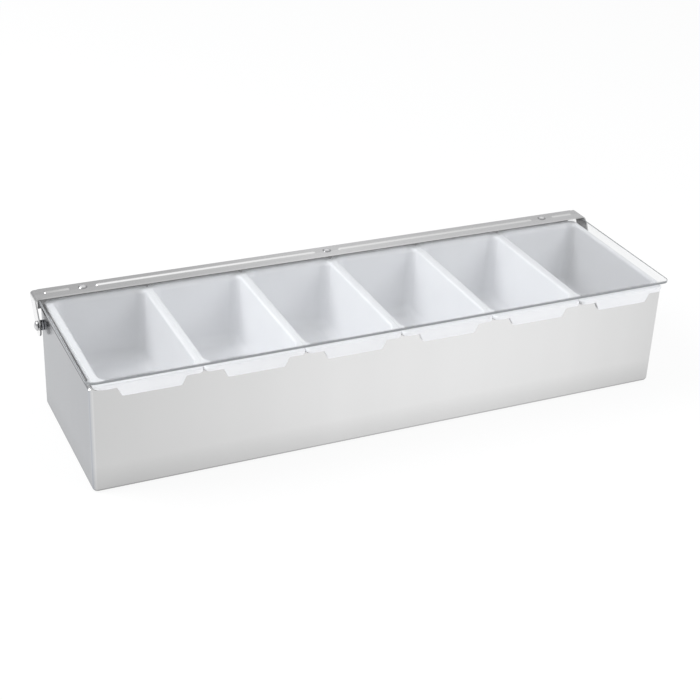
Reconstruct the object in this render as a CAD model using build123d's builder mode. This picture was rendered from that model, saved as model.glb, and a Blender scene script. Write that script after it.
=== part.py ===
from build123d import *

import os
from math import radians, tan

# Bar garnish tray: a folded steel housing, six moulded inserts that hang in it, and a clear
# lid that turns on two pins. Sizes are in millimetres. The origin is at the middle of the
# housing's underside, +X runs along the tray, the pull tabs face -Y and +Z is up.

# Housing: a box of thin sheet whose upper edge is folded inward and down
housing_width = 136.0
housing_height = 84.0
housing_sheet = 1.0
housing_corner_radius = 4.0
housing_bottom_radius = 3.0
housing_rim_chamfer = 0.8
ledge_width = 3.0
ledge_return = 4.0

# Inserts: a row of tubs that hang by their rims, pushed up to the right-hand end
insert_count = 6
insert_length = 77.1
insert_gap = 0.3
insert_row_play = 5.9
insert_end_clearance = 0.15
rim_thickness = 2.5
rim_corner_radius = 5.0
rim_edge_height = 0.3
rim_edge_slope = 0.9
rim_rear_slope = 2.2
rim_rear_overhang = 1.8
tub_side_flange = 5.2
tub_wall = 1.5
tub_floor = 1.8
tub_depth = 57.0
tub_draft_angle = 3.0
tub_corner_radius = 8.0
tub_bottom_chamfer = 3.0
tub_mouth_chamfer = 2.0
tub_clearance = 0.7

# Front lip and pull tab of each insert
lip_thickness = 1.6
lip_clearance = 0.3
lip_drop = 0.5
tab_drop = 7.5
tab_top_width = 50.0
tab_bottom_width = 43.0
tab_corner_radius = 1.5

# Lid sheet
lid_gap = 4.3
lid_thickness = 3.0
lid_front_overhang = 0.5
lid_corner_radius = 6.0
lid_edge_chamfer = 0.4
lid_bar_clearance = 0.2

# Hinge bar: a strip folded down along its rear edge and at both ends
ear_gap = 6.2
lid_side_shift = 2.5
bar_rear_offset = 14.0
bar_width = 18.3
bar_sheet = 1.0
bar_bend_radius = 3.0
bar_bottom_drop = 9.0
flange_end_relief = 2.8
ear_lean_angle = 1.0
ear_radius = 8.0

# Embossed beads of the hinge bar
bead_width = 4.0
bead_height = 0.8
bead_rivet_margin = 9.0
bead_end_length = 22.0

# Rivets, with a washer under each tail
rivet_count = 3
rivet_end_margin = 39.2
rivet_setback = 9.7
rivet_diameter = 4.0
rivet_clearance = 0.1
rivet_head_diameter = 7.0
rivet_head_height = 1.5
rivet_tail_diameter = 6.5
rivet_tail_height = 1.2
washer_diameter = 9.0
washer_thickness = 0.8

# Hinge pins and their nuts
pin_setback = 7.5
pin_drop = 12.5
pin_diameter = 4.0
pin_bore_clearance = 0.075
pin_thread_clearance = 0.05
pin_head_diameter = 8.0
pin_head_height = 2.2
pin_head_gap = 0.6
pin_end_length = 0.6
nut_flats = 7.0
outer_nut_thickness = 2.0
inner_nut_thickness = 2.4
nut_chamfer = 0.4

# How far a cutting form runs past what it cuts
overrun = 2.0

# Places that the pieces share
insert_pitch = insert_length + insert_gap
insert_row_shift = insert_row_play / 2 - insert_end_clearance
housing_length = insert_count * insert_pitch - insert_gap + insert_row_play
bar_length = housing_length + 2 * (ear_gap + bar_sheet)
bar_flange_length = bar_length - 2 * (bar_bend_radius + flange_end_relief)
rivet_spacing = (bar_length - 2 * rivet_end_margin) / (rivet_count - 1)
wall_front = -housing_width / 2
wall_rear = housing_width / 2
wall_end = housing_length / 2
rim_top = housing_height + rim_thickness
lid_bottom = housing_height + lid_gap
lid_top = lid_bottom + lid_thickness
bar_top = lid_top + bar_sheet
bar_end = bar_length / 2
bar_rear = wall_rear + bar_rear_offset
bar_front = bar_rear - bar_width
bar_bend_start = bar_rear - bar_bend_radius
pin_y = wall_rear - pin_setback
pin_z = housing_height - pin_drop
rivet_y = bar_rear - rivet_setback
insert_front = wall_front - lip_clearance - lip_thickness
insert_rear = wall_rear + rim_rear_overhang


# Housing: the outer form, its hollow, the mouth in the ledge, and the folded-down edge
inner_length = housing_length - 2 * housing_sheet
inner_width = housing_width - 2 * housing_sheet
inner_corner_radius = housing_corner_radius - housing_sheet
mouth_length = housing_length - 2 * ledge_width
mouth_width = housing_width - 2 * ledge_width
return_length = mouth_length + 2 * housing_sheet
return_width = mouth_width + 2 * housing_sheet
return_bottom = housing_height - ledge_return

with BuildPart() as housing:
    with BuildSketch(Plane.XY):
        RectangleRounded(housing_length, housing_width, housing_corner_radius)
    extrude(amount=housing_height)
    fillet(housing.faces().sort_by(Axis.Z)[0].edges(), radius=housing_bottom_radius)
    chamfer(housing.faces().sort_by(Axis.Z)[-1].edges(), length=housing_rim_chamfer)

with BuildPart() as hollow:
    with BuildSketch(Plane.XY.offset(housing_sheet)):
        RectangleRounded(inner_length, inner_width, inner_corner_radius)
    extrude(amount=housing_height - 2 * housing_sheet)
    chamfer(hollow.faces().sort_by(Axis.Z)[0].edges(), length=housing_bottom_radius - housing_sheet)
    with BuildSketch(Plane.XY.offset(return_bottom)):
        RectangleRounded(return_length, return_width, inner_corner_radius)
        RectangleRounded(mouth_length, mouth_width, inner_corner_radius, mode=Mode.SUBTRACT)
    extrude(amount=ledge_return, mode=Mode.SUBTRACT)
    with BuildSketch(Plane.XY.offset(return_bottom)):
        RectangleRounded(mouth_length, mouth_width, inner_corner_radius)
    extrude(amount=ledge_return + overrun)

with housing:
    add(hollow.part, mode=Mode.SUBTRACT)
    mouth_edges = housing.faces().filter_by(Axis.Z).sort_by(Axis.Z)[-1].inner_wires()[0].edges()
    chamfer(mouth_edges, length=housing_sheet / 2)
    with BuildSketch(Plane.YZ.offset(-wall_end - overrun)):
        with Locations((pin_y, pin_z)):
            Circle(pin_diameter / 2 + pin_thread_clearance)
    extrude(amount=housing_length + 2 * overrun, mode=Mode.SUBTRACT)


# Insert: the rim with its front lip and tab, then the tub that hangs from it
rim_width = insert_rear - insert_front
rim_middle = (insert_rear + insert_front) / 2
tub_length = insert_length - 2 * tub_side_flange
tub_width = housing_width - 2 * (ledge_width + tub_clearance + tub_wall)
lip_bottom = housing_height - lip_drop
tab_bottom = housing_height - tab_drop

with BuildPart() as insert:
    with BuildSketch(Plane((0, rim_middle, housing_height))):
        RectangleRounded(insert_length, rim_width, rim_corner_radius)
    extrude(amount=rim_edge_height)
    with BuildSketch(Plane((0, rim_middle, housing_height + rim_edge_height))):
        RectangleRounded(insert_length, rim_width, rim_corner_radius)
    with BuildSketch(Plane((0, rim_middle + (rim_edge_slope - rim_rear_slope) / 2, rim_top))):
        RectangleRounded(
            insert_length - 2 * rim_edge_slope,
            rim_width - rim_edge_slope - rim_rear_slope,
            rim_corner_radius,
        )
    loft(ruled=True)

    with BuildSketch(Plane((0, rim_middle, lip_bottom))):
        RectangleRounded(insert_length, rim_width, rim_corner_radius)
        with Locations((0, lip_thickness)):
            Rectangle(insert_length, rim_width, mode=Mode.SUBTRACT)
    extrude(amount=lip_drop)

    with BuildSketch(Plane.XZ.offset(-insert_front)) as tab:
        with BuildLine():
            Polyline(
                (-tab_top_width / 2, lip_bottom),
                (-tab_bottom_width / 2, tab_bottom),
                (tab_bottom_width / 2, tab_bottom),
                (tab_top_width / 2, lip_bottom),
                close=True,
            )
        make_face()
        fillet(tab.vertices().group_by(Axis.Z)[0], radius=tab_corner_radius)
    extrude(amount=-lip_thickness)


def tub_form(wall, sections):
    """A drafted tub through sections of (height, growth), grown outward by a wall's thickness."""
    with BuildPart() as form:
        for height, extra in sections:
            growth = 2 * (wall + extra - (rim_top - height) * tan(radians(tub_draft_angle)))
            with BuildSketch(Plane.XY.offset(height)):
                RectangleRounded(tub_length + growth, tub_width + growth, tub_corner_radius + wall)
        loft(ruled=True)
    return form.part


outer_bottom = rim_top - tub_depth
inner_bottom = outer_bottom + tub_floor
outer_sections = [
    (housing_height, 0),
    (outer_bottom + tub_bottom_chamfer, 0),
    (outer_bottom, -tub_bottom_chamfer),
]
inner_sections = [
    (rim_top, tub_mouth_chamfer),
    (rim_top - tub_mouth_chamfer, 0),
    (inner_bottom + tub_bottom_chamfer, 0),
    (inner_bottom, -tub_bottom_chamfer),
]

with insert:
    add(tub_form(tub_wall, outer_sections))
    add(tub_form(0, inner_sections), mode=Mode.SUBTRACT)


# Lid sheet: a flat plate, rounded at the front, drilled for the rivets
lid_length = bar_length - 2 * (bar_bend_radius + lid_bar_clearance)
lid_front = wall_front - lid_front_overhang
lid_rear = bar_bend_start - lid_bar_clearance
rivet_hole_radius = rivet_diameter / 2 + rivet_clearance

with BuildPart() as lid_sheet:
    with BuildSketch(Plane((0, (lid_front + lid_rear) / 2, lid_bottom))) as lid_outline:
        Rectangle(lid_length, lid_rear - lid_front)
        fillet(lid_outline.vertices().group_by(Axis.Y)[0], radius=lid_corner_radius)
    extrude(amount=lid_thickness)
    chamfer(lid_sheet.faces().filter_by(Axis.Z).edges(), length=lid_edge_chamfer)
    with BuildSketch(Plane((0, rivet_y, lid_bottom))):
        with GridLocations(rivet_spacing, 0, rivet_count, 1):
            Circle(rivet_hole_radius)
    extrude(amount=lid_thickness, mode=Mode.SUBTRACT)


# Hinge bar: the strip with its two leaning ears, then the rear flange, beads and holes
ear_low = pin_z - ear_radius
ear_run = (bar_top - ear_low) * tan(radians(ear_lean_angle))
ear_start = bar_top - bar_bend_radius
flange_bottom = housing_height - bar_bottom_drop

with BuildPart() as ears:
    with BuildSketch(Plane.XZ.offset(-bar_bend_start)):
        with BuildLine():
            FilletPolyline(
                (-bar_end + ear_run, ear_low),
                (-bar_end, bar_top),
                (bar_end, bar_top),
                (bar_end - ear_run, ear_low),
                radius=bar_bend_radius,
            )
            offset(amount=bar_sheet, side=Side.RIGHT)
        make_face()
    extrude(amount=bar_bend_start - pin_y + ear_radius)
    with BuildSketch(Plane.YZ.offset(-bar_end)):
        with BuildSketch(mode=Mode.PRIVATE) as ear_outline:
            with Locations(((bar_front + bar_bend_start) / 2, (ear_start + bar_top) / 2)):
                Rectangle(bar_bend_start - bar_front, bar_top - ear_start)
            with Locations((pin_y, pin_z)):
                Circle(ear_radius)
        make_hull(ear_outline.edges())
        with Locations((pin_y, pin_z)):
            Circle(pin_diameter / 2 + pin_bore_clearance, mode=Mode.SUBTRACT)
    extrude(amount=bar_length, mode=Mode.INTERSECT)

bead_radius = (bead_width**2 / 4 + bead_height**2) / (2 * bead_height)
bead_centre = bar_top + bead_height - bead_radius
bead_length = rivet_spacing - 2 * bead_rivet_margin
bead_end_middle = rivet_spacing + bead_rivet_margin + bead_end_length / 2
beads = [
    (-bead_end_middle, bead_end_length),
    (-rivet_spacing / 2, bead_length),
    (rivet_spacing / 2, bead_length),
    (bead_end_middle, bead_end_length),
]


def bead_form(middle, length, radius):
    """The top of a round bar with ball ends, down to the strip's underside."""
    axis_plane = Plane((middle, rivet_y, bead_centre), x_dir=(1, 0, 0), z_dir=(0, -1, 0))
    with BuildPart() as form:
        with BuildSketch(axis_plane):
            SlotCenterToCenter(length - 2 * bead_radius, 2 * radius)
            split(bisect_by=Plane.XZ)
        revolve(axis=Axis(axis_plane.origin, (1, 0, 0)))
        split(bisect_by=Plane.XY.offset(lid_top))
    return form.part


with BuildPart() as hinge_bar:
    add(ears.part)
    with BuildSketch(Plane.YZ.offset(-bar_flange_length / 2)):
        with BuildLine():
            FilletPolyline(
                (bar_front, bar_top),
                (bar_rear, bar_top),
                (bar_rear, flange_bottom),
                radius=bar_bend_radius,
            )
            offset(amount=bar_sheet, side=Side.RIGHT)
        make_face()
    extrude(amount=bar_flange_length)
    for middle, length in beads:
        add(bead_form(middle, length, bead_radius))
    for middle, length in beads:
        add(bead_form(middle, length, bead_radius - bar_sheet), mode=Mode.SUBTRACT)
    with BuildSketch(Plane((0, rivet_y, lid_top))):
        with GridLocations(rivet_spacing, 0, rivet_count, 1):
            Circle(rivet_hole_radius)
    extrude(amount=bar_sheet, mode=Mode.SUBTRACT)


# Rivets and washers: one turned form, repeated along the bar
washer_bottom = lid_bottom - washer_thickness
tail_bottom = washer_bottom - rivet_tail_height
head_radius = rivet_head_diameter / 2
rivet_places = [((index - (rivet_count - 1) / 2) * rivet_spacing) for index in range(rivet_count)]

with BuildPart() as lid_rivets:
    for place in rivet_places:
        with BuildSketch(Plane((place, rivet_y, 0), x_dir=(1, 0, 0), z_dir=(0, -1, 0))):
            with BuildLine():
                Line((0, tail_bottom), (rivet_tail_diameter / 2, tail_bottom))
                Line((rivet_tail_diameter / 2, tail_bottom), (rivet_tail_diameter / 2, washer_bottom))
                Line((rivet_tail_diameter / 2, washer_bottom), (rivet_diameter / 2, washer_bottom))
                Line((rivet_diameter / 2, washer_bottom), (rivet_diameter / 2, bar_top))
                Line((rivet_diameter / 2, bar_top), (head_radius, bar_top))
                RadiusArc(
                    (head_radius, bar_top),
                    (0, bar_top + rivet_head_height),
                    -(head_radius**2 + rivet_head_height**2) / (2 * rivet_head_height),
                )
                Line((0, bar_top + rivet_head_height), (0, tail_bottom))
            make_face()
        revolve(axis=Axis((place, rivet_y, 0), (0, 0, 1)))

with BuildPart() as rivet_washers:
    with BuildSketch(Plane((0, rivet_y, washer_bottom))):
        with GridLocations(rivet_spacing, 0, rivet_count, 1):
            Circle(washer_diameter / 2)
            Circle(rivet_hole_radius, mode=Mode.SUBTRACT)
    extrude(amount=washer_thickness)


# Hinge pin of the right-hand end: a shank with a domed head outside the ear. The left-hand pin
# is screwed further in, as far as the lid lies to the right.
ear_outer_at_pin = bar_end - (bar_top - pin_z) * tan(radians(ear_lean_angle))
head_face = ear_outer_at_pin + lid_side_shift + pin_head_gap
pin_inner_end = wall_end - housing_sheet - inner_nut_thickness - pin_end_length
pin_radius = pin_diameter / 2
pin_head_radius = pin_head_diameter / 2

with BuildPart() as hinge_pin:
    with BuildSketch(Plane((0, pin_y, pin_z), x_dir=(1, 0, 0), z_dir=(0, -1, 0))):
        with BuildLine():
            Line((pin_inner_end, 0), (pin_inner_end, pin_radius))
            Line((pin_inner_end, pin_radius), (head_face, pin_radius))
            Line((head_face, pin_radius), (head_face, pin_head_radius))
            RadiusArc(
                (head_face, pin_head_radius),
                (head_face + pin_head_height, 0),
                (pin_head_radius**2 + pin_head_height**2) / (2 * pin_head_height),
            )
            Line((head_face + pin_head_height, 0), (pin_inner_end, 0))
        make_face()
    revolve(axis=Axis((0, pin_y, pin_z), (1, 0, 0)))


def nut(start, thickness):
    """A hexagon nut on the pin, with its flats front and rear."""
    with BuildPart() as form:
        with BuildSketch(Plane.YZ.offset(start)):
            with Locations((pin_y, pin_z)):
                RegularPolygon(nut_flats / 2, 6, major_radius=False, rotation=0)
        extrude(amount=thickness)
        chamfer(form.faces().filter_by(Axis.X).edges(), length=nut_chamfer)
        with BuildSketch(Plane.YZ.offset(start)):
            with Locations((pin_y, pin_z)):
                Circle(pin_radius + pin_thread_clearance)
        extrude(amount=thickness, mode=Mode.SUBTRACT)
    return form.part


outer_nut = nut(wall_end, outer_nut_thickness)
inner_nut = nut(wall_end - housing_sheet - inner_nut_thickness, inner_nut_thickness)


# Names and files: the lid's pieces lie a little to the right on their pins
lid_place = Location((lid_side_shift, 0, 0))
pin_place = Location((2 * lid_side_shift, 0, 0))
pieces = {
    "housing": housing.part,
    "lid_sheet": lid_sheet.part.moved(lid_place),
    "hinge_bar": hinge_bar.part.moved(lid_place),
    "lid_rivets": lid_rivets.part.moved(lid_place),
    "rivet_washers": rivet_washers.part.moved(lid_place),
    "hinge_pin_right": hinge_pin.part,
    "hinge_pin_left": mirror(hinge_pin.part, about=Plane.YZ).moved(pin_place),
    "pin_outer_nut_right": outer_nut,
    "pin_outer_nut_left": mirror(outer_nut, about=Plane.YZ),
    "pin_inner_nut_right": inner_nut,
    "pin_inner_nut_left": mirror(inner_nut, about=Plane.YZ),
}
for index in range(insert_count):
    insert_x = insert_row_shift + (index - (insert_count - 1) / 2) * insert_pitch
    pieces[f"insert_{index + 1}"] = insert.part.moved(Location((insert_x, 0, 0)))

os.makedirs("parts", exist_ok=True)
for name, piece in pieces.items():
    piece.label = name
    export_step(piece, f"parts/{name}.step")
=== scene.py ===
from math import cos, pi, radians, sin, tan

import bmesh
import bpy
from mathutils import Matrix, Vector


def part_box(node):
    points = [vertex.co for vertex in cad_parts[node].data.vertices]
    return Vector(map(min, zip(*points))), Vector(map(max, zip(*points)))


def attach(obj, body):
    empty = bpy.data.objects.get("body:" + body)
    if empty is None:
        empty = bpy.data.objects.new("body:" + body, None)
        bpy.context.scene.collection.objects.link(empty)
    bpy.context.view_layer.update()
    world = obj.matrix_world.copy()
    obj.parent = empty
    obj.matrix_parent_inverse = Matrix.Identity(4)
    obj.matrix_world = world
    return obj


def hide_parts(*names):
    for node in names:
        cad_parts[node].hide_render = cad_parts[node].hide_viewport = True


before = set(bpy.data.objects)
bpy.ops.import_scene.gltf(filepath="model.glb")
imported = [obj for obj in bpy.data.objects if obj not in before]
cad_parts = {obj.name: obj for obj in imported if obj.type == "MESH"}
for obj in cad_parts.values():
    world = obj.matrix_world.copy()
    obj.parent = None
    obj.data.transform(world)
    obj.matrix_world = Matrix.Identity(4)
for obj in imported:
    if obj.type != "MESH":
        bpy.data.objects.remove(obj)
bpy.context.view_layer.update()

# Looks of the bar garnish tray. Lengths are in metres, in the frame's axes: x runs along the
# tray to the right, y to the rear and z up.
MM = 0.001

# Camera, fitted to the edges of the housing in the photograph
CAMERA_AZIMUTH = radians(-25.63)
CAMERA_ELEVATION = radians(28.42)
CAMERA_ROLL = radians(-2.73)
CAMERA_DISTANCE = 1168.13 * MM
CAMERA_TARGET = Vector((-7.01 * MM, 0, 38.65 * MM))
FOCAL_PIXELS = 1478.25
IMAGE_PIXELS = 700
SENSOR_WIDTH = 36.0

# Light and floor; the sky's heights are where its grey gives way to white
LAMP_SIZE = 0.9
LAMP_TARGET = Vector((0, 0, 50 * MM))
WORLD_STRENGTH = 0.62
SKY_HEIGHTS = (0.35, 0.7)
FLOOR_REACH = 6.0
FLOOR_WHITE_SHARE = 0.88

# Inserts: the CAD model's sizes, with rounded edges
INSERT_COUNT = 6
SIDE_FLANGE = 3.6 * MM
TUB_WALL = 1.5 * MM
TUB_WIDTH = 125.6 * MM
TUB_FLOOR = 1.8 * MM
TUB_DRAFT = radians(3.0)
TUB_CORNER = 8.0 * MM
TUB_BOTTOM_ROUND = 8.0 * MM
FLOOR_CORNER_SHARE = 0.5
MOUTH_ROUND = 2.0 * MM
MOUTH_REAR_ROUND = 4.8 * MM
MOUTH_DEPTHS = [depth * MM for depth in (0, 0.1, 0.3, 0.6, 1.0, 1.5, 2.0, 2.8, 3.8, 4.8)]
RIM_THICKNESS = 2.5 * MM
RIM_CORNER = 5.0 * MM
RIM_FRONT_ROUND = 0.9 * MM
RIM_SIDE_ROUND = 0.1 * MM
RIM_STRAIGHT_EDGE = 1.0 * MM
RIM_REAR_EDGE = 0.3 * MM
# Each rim spreads a little towards its neighbours, and the first one further to the left
RIM_SPREAD = 0.14 * MM
END_RIM_SPREAD = 2.6 * MM
LIP_THICKNESS = 1.6 * MM
LIP_DROP = 0.5 * MM
TAB_DROP = 7.5 * MM
TAB_TOP = 50.0 * MM
TAB_BOTTOM = 43.0 * MM
TAB_CORNER = 1.2 * MM
# How far the tab's rounded corner stands in from its side and up from its foot, as shares
TAB_CORNER_EASE_SHARES = (0.1, 0.05)
# Lip and tab reach up into the rim, and stand back so that no two fronts lie in one plane
RIM_JOIN = 0.7 * MM
LIP_SETBACK = 0.06 * MM
TAB_SETBACK = 0.03 * MM

# Lid sheet
LID_CORNER = 6.0 * MM
LID_INNER_CORNER = 0.5 * MM
LID_ROUND = 0.4 * MM
LID_INSETS = [inset * MM for inset in (0, 4, 12, 25, 40, 55, 70)]
# Height of the painted highlight band at the foot of the sheet's front edge
LID_PAINTED_HIGHLIGHT_BAND = 0.5 * MM
# A face belongs to the flat sides or to the front edge where its normal goes beyond these
LID_FLAT_NORMAL = 0.9
LID_FRONT_NORMAL = -0.35
# Rise of the sheet's underside and of its top along its front edge, at the left and right ends
LID_UNDER_RISE = (-0.7 * MM, 0.5 * MM)
LID_TOP_RISE = (-1.7 * MM, -0.5 * MM)

# Steps along each rounded corner and each rounded edge
CORNER_STEPS = 8
ROUND_STEPS = 5

# Materials: where most of a noise's values lie, the fine grain, and how plastic bends light
NOISE_RANGE = (0.3, 0.7)
GRAIN_STRENGTH = 0.08
GRAIN_DEPTH = 0.03 * MM
PLASTIC_IOR = 1.49

# Painted light and shade along the tray, as pairs of a place in millimetres and a grey
RAMP_REACH = 250 * MM
FRONT_PAINTED_LIGHT_TONES = [(-235, 0.60), (-150, 0.68), (-45, 0.78), (60, 0.81), (155, 0.77), (235, 0.68)]
BAR_TOP_PAINTED_LIGHT_TONES = [(-240, 0.53), (-120, 0.62), (0, 0.80), (140, 0.72), (240, 0.68)]
BEAD_PAINTED_HIGHLIGHT_TONES = [
    (-240, 0.45), (-215, 0.62), (-190, 0.92), (-90, 0.92), (0, 0.80), (140, 0.68), (240, 0.66),
]

# Where the painted light and shade change, from the first place to the second: heights, depths across the
# tray, and distances from the tray's middle
FOOT_HEIGHTS = (2 * MM, 22 * MM)
REAR_LEDGE_DEPTHS = (40 * MM, 50 * MM)
BAR_FRONT_PAINTED_LIGHT_DEPTHS = (70.5 * MM, 70.0 * MM)
BAR_FLANGE_SHADE_DEPTHS = (78 * MM, 79 * MM)
BEAD_HEIGHTS = (92.4 * MM, 92.7 * MM)
EAR_DISTANCES = (233.5 * MM, 235.5 * MM)
OUTWARD_DISTANCES = (50 * MM, 200 * MM)
LIP_DEPTHS = (-67 * MM, -65 * MM)
REAR_HALF_DEPTHS = (0, 20 * MM)
WALL_TOP_HEIGHTS = (45 * MM, 80 * MM)
RIM_HEIGHTS = (70 * MM, 80 * MM)


# Mesh helpers

def ring(length, width, radius, height, middle_y=0.0):
    """Points of a rounded rectangle, counter-clockwise from its right-hand side."""
    points = []
    for quarter, (side_x, side_y) in enumerate(((1, 1), (-1, 1), (-1, -1), (1, -1))):
        centre_x = side_x * (length / 2 - radius)
        centre_y = middle_y + side_y * (width / 2 - radius)
        centre = Vector((centre_x, centre_y, height))
        for step in range(CORNER_STEPS + 1):
            angle = (quarter + step / CORNER_STEPS) * pi / 2
            points.append(centre + Vector((radius * cos(angle), radius * sin(angle), 0)))
    return points


def shifted(points, along):
    """Points moved along the tray."""
    return [point + Vector((along, 0, 0)) for point in points]


def quarter_turn(start, end, across_first):
    """Pairs of across and along on a quarter of an ellipse, either of which changes first."""
    pairs = []
    for step in range(ROUND_STEPS + 1):
        angle = step / ROUND_STEPS * pi / 2
        early = sin(angle)
        late = 1 - cos(angle)
        across, along = (early, late) if across_first else (late, early)
        pairs.append((start[0] + (end[0] - start[0]) * across, start[1] + (end[1] - start[1]) * along))
    return pairs


def stack(mesh, rings):
    """Closed skin through rings that all have the same number of points."""
    loops = [[mesh.verts.new(point) for point in points] for points in rings]
    for low, high in zip(loops, loops[1:]):
        for index in range(len(low)):
            after = (index + 1) % len(low)
            mesh.faces.new((low[index], low[after], high[after], high[index]))
    mesh.faces.new(list(reversed(loops[0])))
    mesh.faces.new(loops[-1])


def prism(mesh, outline, depth):
    """Closed solid between an outline and its copy moved by depth."""
    stack(mesh, [outline, [point + depth for point in outline]])


def add_object(name, data):
    """Object with the given data, in the scene."""
    made = bpy.data.objects.new(name, data)
    bpy.context.scene.collection.objects.link(made)
    return made


def new_object(name, build):
    """Object whose mesh is filled by the function build."""
    mesh = bmesh.new()
    build(mesh)
    bmesh.ops.recalc_face_normals(mesh, faces=mesh.faces)
    data = bpy.data.meshes.new(name)
    mesh.to_mesh(data)
    mesh.free()
    return add_object(name, data)


def finish_mesh(piece, body, node):
    """Smooth shading, the body that the piece rides on and the CAD node that it replaces."""
    piece.data.shade_smooth()
    piece.data.set_sharp_from_angle(angle=radians(35))
    weighted = piece.modifiers.new("weighted_normals", "WEIGHTED_NORMAL")
    weighted.keep_sharp = True
    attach(piece, body)
    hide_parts(node)


# Node helpers

def feed(tree, socket, value):
    """Link an output to a socket, or set a plain value on it; colours come without an alpha."""
    if isinstance(value, bpy.types.NodeSocket):
        tree.links.new(value, socket)
    elif socket.type == "RGBA":
        socket.default_value = (*value, 1)
    else:
        socket.default_value = value


def new_node(tree, kind, **values):
    """Node with its sockets fed; an underscore stands for the space in a socket's name."""
    node = tree.nodes.new(kind)
    for name, value in values.items():
        feed(tree, node.inputs[name.replace("_", " ")], value)
    return node


def new_material(name, **values):
    """Principled material with plain values, with its node tree and its shader."""
    material = bpy.data.materials.new(name)
    material.use_nodes = True
    tree = material.node_tree
    shader = tree.nodes["Principled BSDF"]
    for socket, value in values.items():
        feed(tree, shader.inputs[socket.replace("_", " ")], value)
    return material, tree, shader


def combine(tree, operation, *values):
    """Math over values, two at a time."""
    total = values[0]
    for value in values[1:]:
        node = tree.nodes.new("ShaderNodeMath")
        node.operation = operation
        feed(tree, node.inputs[0], total)
        feed(tree, node.inputs[1], value)
        total = node.outputs["Value"]
    return total


def product(tree, *values):
    """Product of values."""
    return combine(tree, "MULTIPLY", *values)


def remap(tree, value, target, source=NOISE_RANGE):
    """Value taken from its source range to the target range, and held at the target's ends."""
    node = new_node(
        tree, "ShaderNodeMapRange", Value=value,
        From_Min=source[0], From_Max=source[1], To_Min=target[0], To_Max=target[1],
    )
    return node.outputs["Result"]


def share_over(tree, value, source=NOISE_RANGE):
    """0 to 1 as a value goes over a range."""
    return remap(tree, value, (0, 1), source)


def tone(tree, share, end):
    """Tone that goes from 1 to its end as a share goes from 0 to 1."""
    return remap(tree, share, (1, end), (0, 1))


def mix_colours(tree, factor, first, second, blend="MIX"):
    """Mix of two colours by a factor, or another blend of them."""
    mix = tree.nodes.new("ShaderNodeMix")
    mix.data_type = "RGBA"
    mix.blend_type = blend
    feed(tree, mix.inputs["Factor"], factor)
    feed(tree, mix.inputs["A"], first)
    feed(tree, mix.inputs["B"], second)
    return mix.outputs["Result"]


def shaded(tree, colour, tones):
    """Colour multiplied by tones."""
    return mix_colours(tree, 1.0, colour, tones, "MULTIPLY")


def mix_shaders(tree, factor, first, second, output):
    """Mix of two shader nodes by a factor, led to the output node."""
    mix = new_node(tree, "ShaderNodeMixShader", Fac=factor)
    tree.links.new(first.outputs[0], mix.inputs[1])
    tree.links.new(second.outputs[0], mix.inputs[2])
    tree.links.new(mix.outputs["Shader"], output.inputs["Surface"])


def axis_value(tree, kind, output, axis):
    """One axis of a coordinate or normal."""
    source = tree.nodes.new(kind)
    return new_node(tree, "ShaderNodeSeparateXYZ", Vector=source.outputs[output]).outputs[axis]


def coordinate(tree, axis):
    """One of the object's own coordinates."""
    return axis_value(tree, "ShaderNodeTexCoord", "Object", axis)


def facing(tree, axis, source, normal="True Normal"):
    """0 to 1 as the surface's normal along an axis goes over a range."""
    return share_over(tree, axis_value(tree, "ShaderNodeNewGeometry", normal, axis), source)


def outward(tree):
    """1 on the faces that look away from the tray's middle, along its length."""
    normal = axis_value(tree, "ShaderNodeNewGeometry", "Normal", "X")
    return share_over(tree, product(tree, coordinate(tree, "X"), normal), OUTWARD_DISTANCES)


def stretched_noise(tree, scale, detail=3.0):
    """Noise over the object's own coordinates, with a scale for each axis."""
    place = tree.nodes.new("ShaderNodeTexCoord").outputs["Object"]
    stretched = new_node(tree, "ShaderNodeMapping", Vector=place, Scale=scale).outputs["Vector"]
    return new_node(tree, "ShaderNodeTexNoise", Vector=stretched, Scale=1.0, Detail=detail).outputs["Fac"]


def along_tray(tree, tones):
    """Grey that changes along the tray; tones are pairs of a place in millimetres and a grey."""
    place = share_over(tree, coordinate(tree, "X"), (-RAMP_REACH, RAMP_REACH))
    ramp = new_node(tree, "ShaderNodeValToRGB", Fac=place)
    while len(ramp.color_ramp.elements) < len(tones):
        ramp.color_ramp.elements.new(0.5)
    for element, (millimetres, grey) in zip(ramp.color_ramp.elements, tones):
        element.position = (millimetres * MM + RAMP_REACH) / (2 * RAMP_REACH)
        element.color = (grey, grey, grey, 1)
    return ramp.outputs["Color"]


def add_bump(tree, shader, height, flat=False):
    """Fine bump from a height value, over the flat faces' own normals where asked."""
    bump = new_node(tree, "ShaderNodeBump", Height=height, Strength=GRAIN_STRENGTH, Distance=GRAIN_DEPTH)
    if flat:
        geometry = tree.nodes.new("ShaderNodeNewGeometry")
        tree.links.new(geometry.outputs["True Normal"], bump.inputs["Normal"])
    tree.links.new(bump.outputs["Normal"], shader.inputs["Normal"])


def steel_grain(tree, shader, scale, roughness, flat=True):
    """Fine brushing in roughness and bump."""
    fine = stretched_noise(tree, scale)
    feed(tree, shader.inputs["Roughness"], remap(tree, fine, roughness))
    add_bump(tree, shader, fine, flat)
    return fine


# Materials

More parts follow.
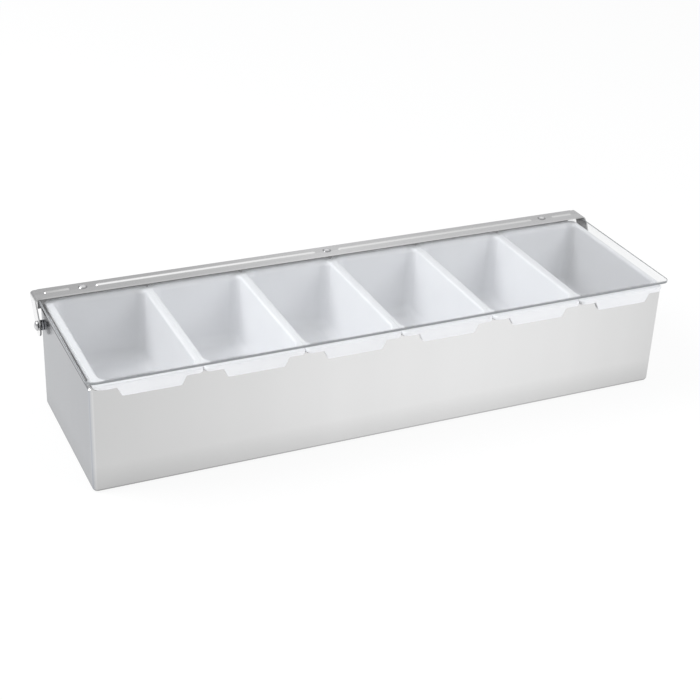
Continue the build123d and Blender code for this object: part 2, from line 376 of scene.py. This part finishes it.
def housing_steel():
    """Sheet brushed upright, with painted light that is brightest right of the middle.

    The faces that look to the left get a cooler, darker grey as painted shade. The foot, the bend under
    it and the ledge, most of all at its rear, get painted shade, and the upright bend at the left front
    corner gets a painted highlight.
    """
    material, tree, shader = new_material("brushed_sheet", Metallic=1.0)
    fine = steel_grain(tree, shader, scale=(700, 700, 8), roughness=(0.17, 0.23))
    bands = stretched_noise(tree, scale=(28, 28, 1.5), detail=1.0)
    streaks = combine(tree, "ADD", remap(tree, fine, (0.485, 0.5)), remap(tree, bands, (0.485, 0.5)))
    # Painted shade: a cooler, darker grey for the faces that look to the left
    end = mix_colours(tree, fine, (0.30, 0.31, 0.33), (0.33, 0.34, 0.36))
    # Painted light along the tray, brightest right of the middle
    sheet = mix_colours(tree, facing(tree, "X", (-0.4, -0.9)), along_tray(tree, FRONT_PAINTED_LIGHT_TONES), end)
    # Painted shade towards the foot
    painted_foot_shade = remap(tree, coordinate(tree, "Z"), (0.84, 1.0), FOOT_HEIGHTS)
    # Painted shade on the faces that look down
    painted_shade_under_bend = tone(tree, facing(tree, "Z", (-0.1, -0.6)), 0.45)
    # Painted shade on the ledge, heavier towards the rear
    ledge_shade = remap(tree, coordinate(tree, "Y"), (0.15, 0.85), REAR_LEDGE_DEPTHS)
    painted_ledge_shade = tone(tree, product(tree, ledge_shade, facing(tree, "Z", (0.6, 0.9))), 0)
    # Painted highlight on the upright bend at the left front corner
    painted_corner_highlight = product(tree, facing(tree, "X", (-0.25, -0.95)), facing(tree, "Y", (-0.02, -0.09)))
    for tones in (painted_foot_shade, painted_shade_under_bend, painted_ledge_shade, tone(tree, painted_corner_highlight, 1.5), streaks):
        sheet = shaded(tree, sheet, tones)
    feed(tree, shader.inputs["Base Color"], sheet)
    return material


def bar_steel():
    """Sheet brushed lengthways, with painted light along its top, painted highlights on the beads and a
    lighter band in front as painted light.

    The ears have painted light outside and painted shade inside, and the flange's inner face is dark with
    painted shade.
    """
    material, tree, shader = new_material("hinge_steel", Metallic=1.0)
    fine = steel_grain(tree, shader, scale=(10, 800, 800), roughness=(0.17, 0.26))
    bands = stretched_noise(tree, scale=(3, 60, 60), detail=1.0)
    streaks = combine(tree, "ADD", remap(tree, fine, (0.47, 0.5)), remap(tree, bands, (0.47, 0.5)))
    edge = mix_colours(tree, fine, (0.58, 0.58, 0.585), (0.66, 0.66, 0.665))
    # Painted shade for the inner faces of the ears and the flange
    inside = mix_colours(tree, fine, (0.08, 0.08, 0.085), (0.13, 0.13, 0.135))
    # Painted light for the outer faces of the ears
    outside = mix_colours(tree, fine, (0.84, 0.84, 0.845), (0.90, 0.90, 0.905))
    depth = coordinate(tree, "Y")
    # Painted shade on the flange's inner face, which the side faces take at the rear
    flange_shade = remap(tree, depth, (0, 0.75), BAR_FLANGE_SHADE_DEPTHS)
    painted_flange_shade = product(tree, flange_shade, facing(tree, "Y", (-0.5, -0.9)))
    edge = mix_colours(tree, painted_flange_shade, edge, inside)
    painted_ear_light_and_shade = mix_colours(tree, outward(tree), inside, outside)
    along = coordinate(tree, "X")
    to_end = share_over(tree, product(tree, along, along), [distance**2 for distance in EAR_DISTANCES])
    side = mix_colours(tree, to_end, edge, painted_ear_light_and_shade)
    # Painted light along the top and painted highlights on the beads
    on_beads = share_over(tree, coordinate(tree, "Z"), BEAD_HEIGHTS)
    top = mix_colours(tree, on_beads, along_tray(tree, BAR_TOP_PAINTED_LIGHT_TONES), along_tray(tree, BEAD_PAINTED_HIGHLIGHT_TONES))
    # Painted light: a lighter band along the front
    top = shaded(tree, top, remap(tree, depth, (1.0, 1.06), BAR_FRONT_PAINTED_LIGHT_DEPTHS))
    colour = mix_colours(tree, facing(tree, "Z", (0.1, 0.6)), side, top)
    feed(tree, shader.inputs["Base Color"], shaded(tree, colour, streaks))
    return material


def turned_steel(name, painted_lit_side):
    """Turned steel with painted light on the side given by a function of the node tree and painted shade
    elsewhere.
    """
    material, tree, shader = new_material(name, Metallic=1.0)
    fine = steel_grain(tree, shader, scale=(700, 700, 700), roughness=(0.14, 0.26), flat=False)
    # Painted shade and painted light, mixed by the lit side
    dark = mix_colours(tree, fine, (0.08, 0.08, 0.085), (0.14, 0.14, 0.145))
    light = mix_colours(tree, fine, (0.60, 0.60, 0.61), (0.76, 0.76, 0.77))
    feed(tree, shader.inputs["Base Color"], mix_colours(tree, painted_lit_side(tree), dark, light))
    return material


def nut_steel():
    """Plain steel of the nuts."""
    material, tree, shader = new_material("nut_steel", Metallic=1.0)
    fine = steel_grain(tree, shader, scale=(700, 700, 700), roughness=(0.2, 0.32))
    colour = mix_colours(tree, fine, (0.40, 0.405, 0.42), (0.50, 0.505, 0.52))
    feed(tree, shader.inputs["Base Color"], colour)
    return material


def white_plastic(name, painted_right_wall_tone, painted_rear_wall_tone=1.0):
    """Moulded plastic with a satin skin.

    The right-hand walls take a given tone of painted light and shade, lighter towards their tops; the
    rear walls take a given tone of painted shade; the rims are darker with painted shade and the front
    lips lighter with painted light.
    """
    material, tree, shader = new_material(name, IOR=PLASTIC_IOR)
    cloud = share_over(tree, stretched_noise(tree, scale=(30, 30, 30), detail=2.0))
    grain = stretched_noise(tree, scale=(1800, 1800, 1800), detail=2.0)
    colour = mix_colours(tree, cloud, (0.80, 0.804, 0.82), (0.825, 0.829, 0.843))
    height = coordinate(tree, "Z")
    depth = coordinate(tree, "Y")
    # Painted light and shade on the right-hand walls, by the given tone
    right_wall = facing(tree, "X", (-0.2, -0.9), "Normal")
    # Painted light towards the top of the right-hand walls
    painted_wall_top_light = product(tree, right_wall, share_over(tree, height, WALL_TOP_HEIGHTS))
    # Painted shade on the rims
    painted_rim_shade = product(tree, share_over(tree, height, RIM_HEIGHTS), facing(tree, "Z", (0.7, 0.95), "Normal"))
    rear_half = share_over(tree, depth, REAR_HALF_DEPTHS)
    # Painted shade on the rear walls, by the given tone
    rear_wall = product(tree, rear_half, facing(tree, "Y", (-0.2, -0.9), "Normal"))
    # Painted light on the front lips
    painted_lip_light = remap(tree, depth, (1.05, 1.0), LIP_DEPTHS)
    tones = product(
        tree,
        tone(tree, right_wall, painted_right_wall_tone),
        tone(tree, painted_wall_top_light, 1.06),
        tone(tree, painted_rim_shade, 0.94),
        painted_lip_light,
        tone(tree, rear_wall, painted_rear_wall_tone),
    )
    feed(tree, shader.inputs["Base Color"], shaded(tree, colour, tones))
    feed(tree, shader.inputs["Roughness"], remap(tree, grain, (0.38, 0.5)))
    add_bump(tree, shader, grain)
    return material


def clear_plastic():
    """Clear sheet that bends the view; light and shadow pass straight through it."""
    material, tree, shader = new_material("clear_plastic", IOR=PLASTIC_IOR, Transmission_Weight=1.0)
    smudge = stretched_noise(tree, scale=(25, 25, 25))
    feed(tree, shader.inputs["Roughness"], remap(tree, smudge, (0.0, 0.02)))
    tint = mix_colours(tree, share_over(tree, smudge), (0.985, 0.99, 0.995), (0.995, 1.0, 1.0))
    feed(tree, shader.inputs["Base Color"], tint)
    through = new_node(tree, "ShaderNodeBsdfTransparent", Color=(0.96, 0.965, 0.97))
    path = tree.nodes.new("ShaderNodeLightPath")
    passing = combine(tree, "MAXIMUM", path.outputs["Is Shadow Ray"], path.outputs["Is Diffuse Ray"])
    mix_shaders(tree, passing, shader, through, tree.nodes["Material Output"])
    return material


def plastic_edge(name, dark, light):
    """Cut edge of the clear sheet drawn as an opaque grey between two given colours, which paint the
    edge's shade and, on the front band, its highlight.
    """
    material, tree, shader = new_material(name, IOR=PLASTIC_IOR)
    streak = stretched_noise(tree, scale=(200, 200, 3000), detail=2.0)
    feed(tree, shader.inputs["Base Color"], mix_colours(tree, share_over(tree, streak), dark, light))
    feed(tree, shader.inputs["Roughness"], remap(tree, streak, (0.15, 0.3)))
    return material


# Inserts

def rounding(radius, depth):
    """How far an edge rounded by the radius stands out at a depth below its top."""
    if depth >= radius:
        return 0.0
    return radius - (radius**2 - (radius - depth) ** 2) ** 0.5


def tub_profile(rim_top, bottom):
    """Growth, rear growth, height and corner radius of the tub's rings, outside then inside."""
    def wall_at(height, wall):
        return wall - (rim_top - height) * tan(TUB_DRAFT)

    under_rim = rim_top - RIM_THICKNESS
    outer_round = TUB_BOTTOM_ROUND + TUB_WALL
    outer_corner = TUB_CORNER + TUB_WALL
    outer_start = wall_at(bottom + outer_round, TUB_WALL)
    turn_start = (outer_start - outer_round, bottom)
    turn_end = (outer_start, bottom + outer_round)
    outside = []
    for growth, height in quarter_turn(turn_start, turn_end, across_first=True):
        outside.append((growth, growth, height, outer_corner + growth - outer_start))
    top_growth = wall_at(under_rim, TUB_WALL)
    outside.append((top_growth, top_growth, under_rim, outer_corner))

    inside = []
    for depth in MOUTH_DEPTHS:
        wall = wall_at(rim_top - depth, 0)
        growth = wall + rounding(MOUTH_ROUND, depth)
        rear_growth = wall + rounding(MOUTH_REAR_ROUND, depth)
        inside.append((growth, rear_growth, rim_top - depth, TUB_CORNER + growth))
    floor = bottom + TUB_FLOOR
    inner_end = wall_at(floor + TUB_BOTTOM_ROUND, 0)
    turn_start = (inner_end, floor + TUB_BOTTOM_ROUND)
    turn_end = (inner_end - TUB_BOTTOM_ROUND, floor)
    for growth, height in quarter_turn(turn_start, turn_end, across_first=False):
        inside.append((growth, growth, height, TUB_CORNER + FLOOR_CORNER_SHARE * (growth - inner_end)))
    return outside, inside


def insert_rings(node):
    """Rings of one insert, from the outside of its bottom over the rim to its inner floor."""
    low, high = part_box(node)
    middle_x = (low.x + high.x) / 2
    rim_middle = (low.y + high.y) / 2
    rim_width = high.y - low.y
    rim_length = high.x - low.x
    tub_length = rim_length - 2 * SIDE_FLANGE
    left_spread = END_RIM_SPREAD if node == "insert_1" else RIM_SPREAD
    under_rim = high.z - RIM_THICKNESS
    outside, inside = tub_profile(high.z, low.z)

    def tub_ring(growth, rear_growth, height, radius):
        width = TUB_WIDTH + growth + rear_growth
        return ring(tub_length + 2 * growth, width, radius, height, (rear_growth - growth) / 2)

    def rim_ring(share, height):
        side = share * RIM_SIDE_ROUND
        front = share * RIM_FRONT_ROUND
        rear = max(0, height - under_rim - RIM_REAR_EDGE)
        length = rim_length + left_spread + RIM_SPREAD - 2 * side
        width = rim_width - front - rear
        points = ring(length, width, RIM_CORNER - side, height, rim_middle + (front - rear) / 2)
        return shifted(points, (RIM_SPREAD - left_spread) / 2)

    rings = [tub_ring(*entry) for entry in outside]
    rings.append(rim_ring(0, under_rim))
    turn = quarter_turn((0, under_rim + RIM_STRAIGHT_EDGE), (1, high.z), across_first=False)
    rings += [rim_ring(share, height) for share, height in turn]
    rings += [tub_ring(*entry) for entry in inside]
    return [shifted(points, middle_x) for points in rings]


def lip_outline(node):
    """Plan of the front lip: flat behind, following the rim's rounded corners in front."""
    low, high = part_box(node)
    middle_x = (low.x + high.x) / 2
    half = (high.x - low.x) / 2
    back = low.y + LIP_THICKNESS
    centre_y = low.y + LIP_SETBACK + RIM_CORNER
    height = high.z - RIM_THICKNESS - LIP_DROP
    reach = (RIM_CORNER**2 - (centre_y - back) ** 2) ** 0.5
    right = []
    for step in range(CORNER_STEPS + 1):
        along = reach * step / CORNER_STEPS
        drop = (RIM_CORNER**2 - along**2) ** 0.5
        right.append(Vector((half - RIM_CORNER + along, centre_y - drop, height)))
    left = [Vector((-point.x, point.y, point.z)) for point in reversed(right)]
    return shifted(left + right, middle_x)


def tab_outline(node):
    """Front view of the pull tab, with its lower corners rounded."""
    low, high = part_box(node)
    middle_x = (low.x + high.x) / 2
    top = high.z - RIM_THICKNESS + RIM_JOIN
    bottom = high.z - RIM_THICKNESS - TAB_DROP
    slope = (TAB_TOP - TAB_BOTTOM) / 2 / (TAB_DROP - LIP_DROP)
    top_half = TAB_TOP / 2 + slope * (LIP_DROP + RIM_JOIN)
    bottom_half = TAB_BOTTOM / 2
    step = TAB_CORNER / 3
    side_ease, foot_ease = (share * TAB_CORNER for share in TAB_CORNER_EASE_SHARES)
    right = [
        (top_half, top),
        (bottom_half + slope * TAB_CORNER, bottom + TAB_CORNER),
        (bottom_half - side_ease + slope * step, bottom + step),
        (bottom_half - step, bottom + foot_ease),
        (bottom_half - TAB_CORNER, bottom),
    ]
    left = [(-x, z) for x, z in reversed(right)]
    return [Vector((middle_x + x, low.y + TAB_SETBACK, z)) for x, z in right + left]


def make_insert(index, material):
    """One insert: tub and rim as a single skin, joined to its lip and tab."""
    node = f"insert_{index}"
    up = Vector((0, 0, LIP_DROP + RIM_JOIN))
    back = Vector((0, LIP_THICKNESS, 0))
    piece = new_object(f"{node}_moulded", lambda mesh: stack(mesh, insert_rings(node)))
    extras = [
        new_object(f"{node}_lip", lambda mesh: prism(mesh, lip_outline(node), up)),
        new_object(f"{node}_tab", lambda mesh: prism(mesh, tab_outline(node), back)),
    ]
    for extra in extras:
        joined = piece.modifiers.new("join", "BOOLEAN")
        joined.operation = "UNION"
        joined.solver = "EXACT"
        joined.object = extra
    depsgraph = bpy.context.evaluated_depsgraph_get()
    data = bpy.data.meshes.new_from_object(piece.evaluated_get(depsgraph))
    piece.modifiers.clear()
    piece.data = data
    data.materials.clear()
    data.materials.append(material)
    for extra in extras:
        bpy.data.objects.remove(extra)
    finish_mesh(piece, f"tub_{index}", node)


# Lid sheet

def make_lid():
    """Clear sheet that sags a little at the front, with grey edges of painted shade and a band of painted
    highlight low on the front edge.
    """
    node = "lid_sheet"
    low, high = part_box(node)
    middle = (low + high) / 2
    size = high - low

    def outline(inset, height):
        radius = max(LID_CORNER - inset, LID_INNER_CORNER)
        points = ring(size.x - 2 * inset, size.y - 2 * inset, radius, height, middle.y)
        return shifted(points, middle.x)

    def build(mesh):
        rings = [outline(inset + LID_ROUND, low.z) for inset in reversed(LID_INSETS)]
        rings += [outline(0, low.z + depth) for depth in (LID_ROUND, LID_PAINTED_HIGHLIGHT_BAND)]
        rings.append(outline(0, high.z - LID_ROUND))
        rings += [outline(inset + LID_ROUND, high.z) for inset in LID_INSETS]
        stack(mesh, rings)

    piece = new_object("lid_sheet_clear", build)
    # The cut edges are opaque greys: painted shade on the front and sides, and a painted highlight on the
    # band low on the front
    materials = {
        "sheet": clear_plastic(),
        "front": plastic_edge("clear_plastic_painted_shade_edge", (0.24, 0.25, 0.26), (0.31, 0.32, 0.33)),
        "front_band": plastic_edge("clear_plastic_painted_highlight_edge", (0.70, 0.71, 0.72), (0.80, 0.81, 0.82)),
        "side": plastic_edge("clear_plastic_side_painted_shade_edge", (0.22, 0.23, 0.24), (0.28, 0.29, 0.30)),
    }
    for material in materials.values():
        piece.data.materials.append(material)
    for face in piece.data.polygons:
        if abs(face.normal.z) > LID_FLAT_NORMAL:
            part = "sheet"
        elif face.normal.y > LID_FRONT_NORMAL:
            part = "side"
        elif face.center.z > low.z + LID_PAINTED_HIGHLIGHT_BAND:
            part = "front"
        else:
            part = "front_band"
        face.material_index = list(materials).index(part)
    for vertex in piece.data.vertices:
        across = (vertex.co.x - low.x) / size.x
        forward = (high.y - vertex.co.y) / size.y
        share = (vertex.co.z - low.z) / size.z
        under = LID_UNDER_RISE[0] + (LID_UNDER_RISE[1] - LID_UNDER_RISE[0]) * across
        top = LID_TOP_RISE[0] + (LID_TOP_RISE[1] - LID_TOP_RISE[0]) * across
        vertex.co.z += (under + (top - under) * share) * forward
    finish_mesh(piece, "lid", node)


# CAD nodes, stage, light and camera

def dress_cad_nodes():
    """Steels for the CAD nodes, which are shown apart from the inserts and the clear sheet."""
    plain = turned_steel("pin_steel", outward)
    steels = {
        "housing": housing_steel(),
        "hinge_bar": bar_steel(),
        "lid_rivets": turned_steel("rivet_steel", lambda tree: facing(tree, "Z", (0.72, 0.92), "Normal")),
    }
    nuts = nut_steel()
    for name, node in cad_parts.items():
        steel = steels.get(name, nuts if "nut" in name else plain)
        for place in node.material_slots:
            place.material = steel


def seen_rays(tree, share):
    """share for camera, glossy and transmission rays, and zero for the others."""
    path = tree.nodes.new("ShaderNodeLightPath")
    kinds = ("Is Camera Ray", "Is Glossy Ray", "Is Transmission Ray")
    seen = combine(tree, "MAXIMUM", *[path.outputs[kind] for kind in kinds])
    return product(tree, seen, share)


def make_stage():
    """White floor that keeps a soft shadow and shows as white to the camera and in reflections."""
    def build(mesh):
        bmesh.ops.create_grid(mesh, x_segments=1, y_segments=1, size=FLOOR_REACH)

    floor = new_object("floor", build)
    material = bpy.data.materials.new("floor_white")
    material.use_nodes = True
    tree = material.node_tree
    tree.nodes.clear()
    diffuse = new_node(tree, "ShaderNodeBsdfDiffuse", Color=(0.95, 0.95, 0.95))
    glow = new_node(tree, "ShaderNodeEmission", Color=(1, 1, 1), Strength=1.0)
    output = tree.nodes.new("ShaderNodeOutputMaterial")
    mix_shaders(tree, seen_rays(tree, FLOOR_WHITE_SHARE), diffuse, glow, output)
    floor.data.materials.append(material)


def make_world():
    """White to camera and transmission rays, and a plain soft light for diffuse ones.

    Glossy rays see a sky that is white above and greyer towards the horizon.
    """
    world = bpy.data.worlds.new("studio")
    world.use_nodes = True
    bpy.context.scene.world = world
    tree = world.node_tree
    tree.nodes.clear()
    soft = new_node(tree, "ShaderNodeBackground", Color=(0.97, 0.985, 1.0), Strength=WORLD_STRENGTH)
    height = axis_value(tree, "ShaderNodeTexCoord", "Generated", "Z")
    sky = mix_colours(tree, share_over(tree, height, SKY_HEIGHTS), (0.60, 0.60, 0.61), (1, 1, 1))
    mirrored = tree.nodes.new("ShaderNodeLightPath").outputs["Is Glossy Ray"]
    seen = mix_colours(tree, mirrored, (1, 1, 1), sky)
    white = new_node(tree, "ShaderNodeBackground", Color=seen, Strength=1.0)
    mix_shaders(tree, seen_rays(tree, 1.0), soft, white, tree.nodes.new("ShaderNodeOutputWorld"))


def add_lamp(name, place, power):
    """Square soft lamp that looks at the tray."""
    light = bpy.data.lights.new(name, "AREA")
    light.shape = "SQUARE"
    light.size = LAMP_SIZE
    light.energy = power
    lamp = add_object(name, light)
    lamp.location = place
    lamp.rotation_mode = "QUATERNION"
    lamp.rotation_quaternion = (LAMP_TARGET - Vector(place)).to_track_quat("-Z", "Y")
    return lamp


def make_camera():
    """Camera at the photograph's place, direction and roll."""
    back = Vector((
        sin(CAMERA_AZIMUTH) * cos(CAMERA_ELEVATION),
        -cos(CAMERA_AZIMUTH) * cos(CAMERA_ELEVATION),
        sin(CAMERA_ELEVATION),
    ))
    right = Vector((cos(CAMERA_AZIMUTH), sin(CAMERA_AZIMUTH), 0))
    down = right.cross(back)
    turned_right = cos(CAMERA_ROLL) * right + sin(CAMERA_ROLL) * down
    turned_down = cos(CAMERA_ROLL) * down - sin(CAMERA_ROLL) * right
    place = CAMERA_TARGET + CAMERA_DISTANCE * back
    data = bpy.data.cameras.new("camera")
    data.sensor_width = SENSOR_WIDTH
    data.lens = FOCAL_PIXELS * SENSOR_WIDTH / IMAGE_PIXELS
    data.clip_start = 0.05
    data.clip_end = 20
    camera = add_object("camera", data)
    turn = Matrix((turned_right, -turned_down, back)).transposed()
    camera.matrix_world = Matrix.Translation(place) @ turn.to_4x4()
    bpy.context.scene.camera = camera


# Scene
bpy.context.scene.view_settings.view_transform = "Standard"
make_camera()
make_stage()
make_world()
add_lamp("key_lamp", place=(-1.2, 0.5, 1.3), power=21.0)
front_lamp = add_lamp("front_lamp", place=(0.9, -0.9, 1.1), power=9.0)
# Its mirror image would be a white line along the bar's front edge
front_lamp.visible_glossy = False
dress_cad_nodes()
# Painted light on the middle inserts' right-hand walls; painted shade on the end inserts' right-hand
# walls and the first insert's rear walls
plastic = white_plastic("white_plastic", painted_right_wall_tone=1.07)
end_plastics_with_painted_shade = {
    1: white_plastic("white_plastic_left_painted_shade", painted_right_wall_tone=0.92, painted_rear_wall_tone=0.85),
    INSERT_COUNT: white_plastic("white_plastic_right_painted_shade", painted_right_wall_tone=0.73),
}
for index in range(1, INSERT_COUNT + 1):
    make_insert(index, end_plastics_with_painted_shade.get(index, plastic))
make_lid()
